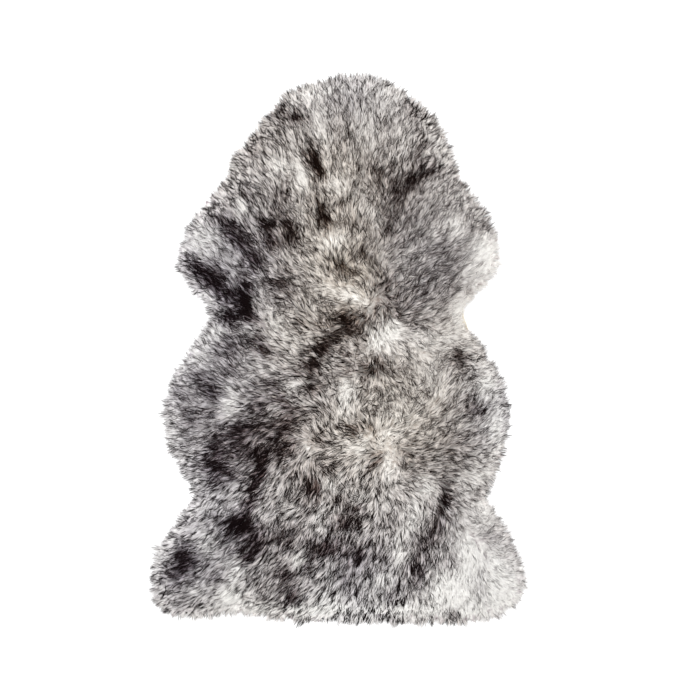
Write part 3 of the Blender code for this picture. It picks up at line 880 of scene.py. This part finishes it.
def strandMesh(name, spine, width, rng):
    total = len(spine)
    tangent = np.gradient(spine, axis=1)
    tangent /= np.linalg.norm(tangent, axis=2, keepdims=True)
    side = np.cross((0, 0, 1.0), tangent)
    side /= np.linalg.norm(side, axis=2, keepdims=True)
    up = np.cross(tangent, side)
    phase = rng.uniform(0, 2 * np.pi, total)
    verts = np.zeros((total, 5, 3))
    outside = np.zeros((total, 5, 3))
    verts[:, 0], verts[:, 4] = spine[:, 0], spine[:, 2]
    outside[:, 0], outside[:, 4] = up[:, 0], up[:, 2]
    for corner in range(3):
        turn = phase + corner * 2 * np.pi / 3
        sideways, upwards = np.cos(turn)[:, None], np.sin(turn)[:, None]
        outside[:, 1 + corner] = sideways * side[:, 1] + upwards * up[:, 1]
        verts[:, 1 + corner] = spine[:, 1] + outside[:, 1 + corner] * (width / 2)[:, None]
    verts[:, :, 2] = np.maximum(verts[:, :, 2], strandValues["floorGap"])
    faces = [(0, 2, 1), (1, 2, 4), (0, 3, 2), (2, 3, 4), (0, 1, 3), (3, 1, 4)]
    allFaces = (np.array(faces)[None] + 5 * np.arange(total)[:, None, None]).reshape(-1, 3)
    mesh = bpy.data.meshes.new(name)
    mesh.from_pydata(verts.reshape(-1, 3).tolist(), [], allFaces.tolist())
    # a map with a small cell for each strand, so that its colours can be baked
    columns, rows = bakeCells["columns"], bakeCells["rows"]
    cell = np.stack([np.arange(total) % columns, np.arange(total) // columns], 1)[:, None, None, :]
    across = np.array([(0.5, 1, 0), (0, 1, 0.5)] * 3)
    along = np.array(strandValues["stops"])[np.array([(0, 1, 1), (1, 1, 2)] * 3)]
    inCell = 0.2 + 0.6 * np.stack([across, along], 2)
    uv = (cell + inCell[None]) / (columns, rows)
    mesh.uv_layers.new(name="OFBake").data.foreach_set("uv", uv.reshape(-1))
    mesh.shade_smooth()
    # wool scatters light, so a strand is shaded partly as the fleece's upper side is
    soft = outside * (1 - strandValues["softness"]) + np.array((0, 0, strandValues["softness"]))
    soft /= np.linalg.norm(soft, axis=2, keepdims=True)
    mesh.normals_split_custom_set_from_vertices(soft.reshape(-1, 3).tolist())
    return mesh


def setAttribute(mesh, name, values):
    layer = mesh.attributes.new(name, "FLOAT", "POINT")
    layer.data.foreach_set("value", np.asarray(values, np.float32).reshape(-1))


# Sheep's wool: matt, soft and scattering, ivory-grey with brown-black tips. Real fibres are
# 0.03 mm thick, so each strand here is a pencil of many of them. Each shade has a cool and a warm
# end.
woolValues = {
    "body": ("EFEEEB", "F3EFE8"),
    "greyBody": ("988F9B", "A89683"),
    "paleTip": ("6B5D62", "755D4D"),
    "darkTip": ("10090B", "130A05"),
    "shader": {"Roughness": 0.9, "Specular IOR Level": 0.04},
}
colourMix = {"data_type": "RGBA"}  # its inputs are 0, 6 and 7, and its output is 2


def makeWool():
    material, tree, shader = newMaterial("sheep wool", woolValues["shader"])
    along, tipStart, tipDark, grey, warm = (
        addNode(tree, "Attribute", "Fac", {"attribute_name": name})
        for name in ("along", "tipStart", "tipDark", "grey", "warm")
    )
    body, greyBody, paleTip, darkTip = (
        addNode(tree, "Mix", 2, colourMix, {0: warm, 6: cool, 7: hot})
        for cool, hot in (woolValues[name] for name in ("body", "greyBody", "paleTip", "darkTip"))
    )
    past = addNode(tree, "Math", 0, {"operation": "SUBTRACT"}, {0: along, 1: tipStart})
    blend = addNode(
        tree, "MapRange", "Result", {"interpolation_type": "SMOOTHSTEP"},
        {"Value": past, "From Min": -0.20, "From Max": 0.28},
    )
    greyest = addNode(
        tree, "MapRange", "Result", {}, {"Value": grey, "From Min": 0.75, "From Max": 1.2}
    )
    body = addNode(tree, "Mix", 2, colourMix, {0: grey, 6: body, 7: greyBody})
    body = addNode(tree, "Mix", 2, colourMix, {0: greyest, 6: body, 7: paleTip})
    tip = addNode(tree, "Mix", 2, colourMix, {0: tipDark, 6: paleTip, 7: darkTip})
    colour = addNode(tree, "Mix", 2, colourMix, {0: blend, 6: body, 7: tip})
    tree.links.new(colour, shader.inputs["Base Color"])
    return material


# The down close to the skin is the same wool, felted into soft fluff. Its fibres are too fine to
# show and are drawn as crumbs of 2 mm.
downValues = {
    "crumb": 2 * mm,
    "patch": 9 * mm,
    "bump": 1.2 * mm,
    "shader": {"Roughness": 0.95, "Specular IOR Level": 0.1},
}


def makeDown():
    material, tree, shader = newMaterial("felted sheep down", downValues["shader"])
    place = addNode(tree, "TexCoord", "Object")
    dark, warm = (addNode(tree, "Attribute", "Fac", {"attribute_name": n}) for n in ("dark", "warm"))
    crumbs, patches = (
        addNode(tree, "TexNoise", "Fac", {}, {"Vector": place, "Scale": 1 / size, "Detail": detail})
        for size, detail in ((downValues["crumb"], 3), (downValues["patch"], 2))
    )
    body, greyBody = (
        addNode(tree, "Mix", 2, colourMix, {0: warm, 6: cool, 7: hot})
        for cool, hot in (woolValues["body"], woolValues["greyBody"])
    )
    # where the tips above are dark the down runs to black-brown: partly the dark tips, partly painted
    # shade in the pits between locks
    spread = addNode(tree, "Math", 0, {"operation": "MULTIPLY_ADD"}, {0: crumbs, 1: 0.8, 2: dark})
    dirty, tipsAndPitShade = (
        addNode(tree, "MapRange", "Result", {}, {"Value": value, "From Min": low, "From Max": high})
        for value, low, high in ((patches, 0.3, 0.75), (spread, 0.75, 1.5))
    )
    body = addNode(tree, "Mix", 2, colourMix, {0: dirty, 6: body, 7: greyBody})
    colour = addNode(tree, "Mix", 2, colourMix, {0: tipsAndPitShade, 6: body, 7: woolValues["darkTip"][1]})
    tree.links.new(colour, shader.inputs["Base Color"])
    fluff = addNode(
        tree, "Bump", "Normal", {}, {"Height": crumbs, "Strength": 1, "Distance": downValues["bump"]}
    )
    tree.links.new(fluff, shader.inputs["Normal"])
    return material


# Tanned sheepskin, flesh side out: cream suede, matt, with a short nap, and yellower where the skin
# was thin. The nap's fibres are 0.1 mm long, and are drawn ten times as coarse to show.
suedeValues = {
    "pale": "EEE8DC",
    "dull": "E2DACB",
    "yellow": "E3D8C1",
    "blotchSize": 70 * mm,
    "veinSize": 18 * mm,
    "veinDepth": 0.8 * mm,
    "napSize": 1.2 * mm,
    "napDepth": 0.3 * mm,
    "shader": {"Roughness": 0.95, "Specular IOR Level": 0.2, "Sheen Weight": 0.15},
}


def makeSuede():
    material, tree, shader = newMaterial("sheepskin suede", suedeValues["shader"])
    place = addNode(tree, "TexCoord", "Object")
    blotches, veins, nap = (
        addNode(
            tree, "TexNoise", "Fac", {},
            {"Vector": place, "Scale": 1 / suedeValues[size], "Detail": detail, "Distortion": bent},
        )
        for size, detail, bent in (("blotchSize", 4, 0.6), ("veinSize", 3, 1.5), ("napSize", 2, 0))
    )
    thin = addNode(
        tree, "MapRange", "Result", {}, {"Value": blotches, "From Min": 0.38, "From Max": 0.68}
    )
    dull, pale = suedeValues["dull"], suedeValues["pale"]
    body = addNode(tree, "Mix", 2, colourMix, {0: nap, 6: dull, 7: pale})
    colour = addNode(tree, "Mix", 2, colourMix, {0: thin, 6: body, 7: suedeValues["yellow"]})
    tree.links.new(colour, shader.inputs["Base Color"])
    relief = addNode(
        tree, "Bump", "Normal", {},
        {"Height": veins, "Strength": 0.3, "Distance": suedeValues["veinDepth"]},
    )
    relief = addNode(
        tree, "Bump", "Normal", {},
        {"Height": nap, "Strength": 0.5, "Distance": suedeValues["napDepth"], "Normal": relief},
    )
    tree.links.new(relief, shader.inputs["Normal"])
    return material


# The tanned skin, whose underside has shallow hollows.
hideValues = {
    "flat": (0.587, 0.887),  # its width and length before the wool hides it
    "area": 0.39,  # square metres
    "grid": 10 * mm,
    "edgeSoft": 0.5 * mm,
    "dent": 0.55 * mm,  # how deep the hollows in its underside are
    "dentSize": 34 * mm,
}

hide = copyNode("hide", "tannedHide")
hideLow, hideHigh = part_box("hide")
bpy.ops.object.mode_set(mode="EDIT")
bpy.ops.mesh.dissolve_limited(angle_limit=math.radians(1))
bpy.ops.object.mode_set(mode="OBJECT")
print("hide outline:", len(hide.data.polygons), "faces")
soften = hide.modifiers.new("soft edge", "BEVEL")
soften.width = hideValues["edgeSoft"]
soften.segments = 2
soften.angle_limit = math.radians(50)
bpy.ops.object.modifier_apply(modifier=soften.name)
for axis, low, high in ((0, hideLow.x, hideHigh.x), (1, hideLow.y, hideHigh.y)):
    normal = (1, 0, 0) if axis == 0 else (0, 1, 0)
    for place in np.arange(low + hideValues["grid"], high, hideValues["grid"]):
        bpy.ops.object.mode_set(mode="EDIT")
        bpy.ops.mesh.select_all(action="SELECT")
        bpy.ops.mesh.bisect(plane_co=tuple(place * c for c in normal), plane_no=normal)
        bpy.ops.object.mode_set(mode="OBJECT")
for vertex in hide.data.vertices:
    if vertex.co.z < 0.1 * mm:
        soft = 0.5 + noise.fractal(vertex.co / hideValues["dentSize"], 1, 2, 3)
        vertex.co.z = hideValues["dent"] * min(max(soft, 0), 1)
hide.data.materials.append(makeSuede())
hide.data.shade_smooth()
bpy.ops.object.shade_smooth_by_angle(angle=math.radians(50))
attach(hide, "root")
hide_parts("hide")
print("hide:", len(hide.data.polygons), "faces")

# The dense wool close to the skin, which shows between the strands. Where the tips are dark it is
# painted darker: partly for the dark tips above it, partly as painted shade in the pits between
# locks.
groundValues = {
    "lowered": 0.45,  # its height above the rim, as a share of the fleece's
    "fluff": 1.6 * mm,
    "fluffSize": 7 * mm,
    # how far the down darkens where the tips are dark, partly as painted shade in the pits
    "dark": 0.7,
}

ground = copyNode("fleece", "woolGround")
bpy.ops.object.mode_set(mode="EDIT")
bpy.ops.mesh.subdivide(number_cuts=1)
bpy.ops.object.mode_set(mode="OBJECT")
for vertex in ground.data.vertices:
    over = vertex.co.z - rimDroop["height"]
    if over > 0:
        vertex.co.z = rimDroop["height"] + over * groundValues["lowered"]
        vertex.co.z += groundValues["fluff"] * noise.noise(vertex.co / groundValues["fluffSize"])
ground.data.shade_smooth()
ground.data.materials.append(makeDown())
places = np.array([v.co for v in ground.data.vertices])
east, north = places[:, 0], places[:, 1]
# this darkening stands in for the dark tips above and is partly painted shade in the pits between
# locks
setAttribute(ground.data, "dark", groundValues["dark"] * patchTone(east, north))
setAttribute(ground.data, "warm", woolTint(east, north))
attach(ground, "root")
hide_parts("fleece")
print("ground wool:", len(ground.data.polygons), "triangles")

# The long wool, cut in strips from left to right.
furPieces = [
    "woolLeftFlank",
    "woolLeftRibs",
    "woolLeftSpine",
    "woolRightSpine",
    "woolRightRibs",
    "woolRightFlank",
]
furValues = {
    "seed": 12,
    "toneSpread": 0.15,
    "guardDarker": 0.36,
    "downPaler": 0.42,
    "greySpread": 0.06,
    "warmSpread": 0.1,
    "tipStart": (1, 0.72),  # where along it the dark tip starts, and how much sooner where dark
    "tipDark": (0.25, 0.95),  # how dark the tip is, and how much more where dark
}

rng = np.random.default_rng(furValues["seed"])
tufts = layTufts(rng)
print("tufts:", tufts["x"].size)
strands = growStrands(tufts, rng)
rim = growRim(rng)
strands = {name: np.concatenate([strands[name], rim[name]]) for name in strands}
order = np.argsort(strands["spine"][:, 0, 0])
strands = {name: values[order] for name, values in strands.items()}
total = len(strands["spine"])
print("strands:", total)

width = strandValues["width"] * (1 + rng.uniform(-1, 1, total) * strandValues["widthSpread"])
width *= 1 + strandValues["crispWider"] * (strands["crisp"] - 1)
own = rng.normal(0, furValues["toneSpread"], total)
own += np.where(strands["guard"], furValues["guardDarker"], -furValues["downPaler"])
tone = strands["tone"] + own * strands["crisp"]
looks = {
    "tipStart": np.clip(furValues["tipStart"][0] - furValues["tipStart"][1] * tone, -0.15, 1.3),
    "tipDark": np.clip(furValues["tipDark"][0] + furValues["tipDark"][1] * tone, 0, 1),
    "grey": np.clip(strands["grey"] + rng.normal(0, furValues["greySpread"], total), 0, 1.5),
    "warm": np.clip(strands["warm"] + rng.normal(0, furValues["warmSpread"], total), 0, 1),
}
perCorner = np.array(strandValues["stops"])[[0, 1, 1, 1, 2]]
wool = makeWool()
cuts = np.linspace(0, total, len(furPieces) + 1).astype(int)
for name, start, end in zip(furPieces, cuts[:-1], cuts[1:]):
    mesh = strandMesh(name, strands["spine"][start:end], width[start:end], rng)
    setAttribute(mesh, "along", np.tile(perCorner, end - start))
    for look, values in looks.items():
        setAttribute(mesh, look, np.repeat(values[start:end], len(perCorner)))
    mesh.materials.append(wool)
    piece = bpy.data.objects.new(name, mesh)
    bpy.context.scene.collection.objects.link(piece)
    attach(piece, "root")
    print(name, end - start, "strands", len(mesh.polygons), "triangles")

# A floor of matt white paint, which is even and pale and has no shine.
floorValues = {"size": 8, "colour": "FBFBFB", "shader": {"Roughness": 0.9}}
bpy.ops.mesh.primitive_plane_add(size=floorValues["size"], location=(0, 0, 0))
floor = bpy.context.object
floor.name = "floor"
material, tree, shader = newMaterial("matt white paint", floorValues["shader"])
shader.inputs["Base Color"].default_value = toLinear(floorValues["colour"])
floor.data.materials.append(material)

# Soft studio light from all round, and from one broad lamp above.
lightValues = {"around": 0.88, "size": 2.2, "power": 72, "place": (-0.5, 0.6, 2.6)}
world = bpy.data.worlds.new("studio")
bpy.context.scene.world = world
world.use_nodes = True
world.node_tree.nodes["Background"].inputs["Color"].default_value = (1, 1, 1, 1)
world.node_tree.nodes["Background"].inputs["Strength"].default_value = lightValues["around"]
bpy.ops.object.light_add(type="AREA", location=lightValues["place"])
lamp = bpy.context.object
lamp.data.size = lightValues["size"]
lamp.data.energy = lightValues["power"]
lamp.rotation_euler = Vector(lightValues["place"]).to_track_quat("Z", "Y").to_euler()

# The camera looks straight down.
cameraValues = {
    "height": 3.2,
    "aside": 18.8 * mm,
    "frame": 1.198,  # how wide the picture is, at this height over the floor
    "frameHeight": 25 * mm,
    "sensor": 36,
}
bpy.ops.object.camera_add(location=(cameraValues["aside"], 0, cameraValues["height"]))
camera = bpy.context.object
camera.data.sensor_width = cameraValues["sensor"]
over = cameraValues["height"] - cameraValues["frameHeight"]
camera.data.lens = cameraValues["sensor"] * over / cameraValues["frame"]
bpy.context.scene.camera = camera
bpy.context.scene.view_settings.view_transform = "Standard"
print("stage set")
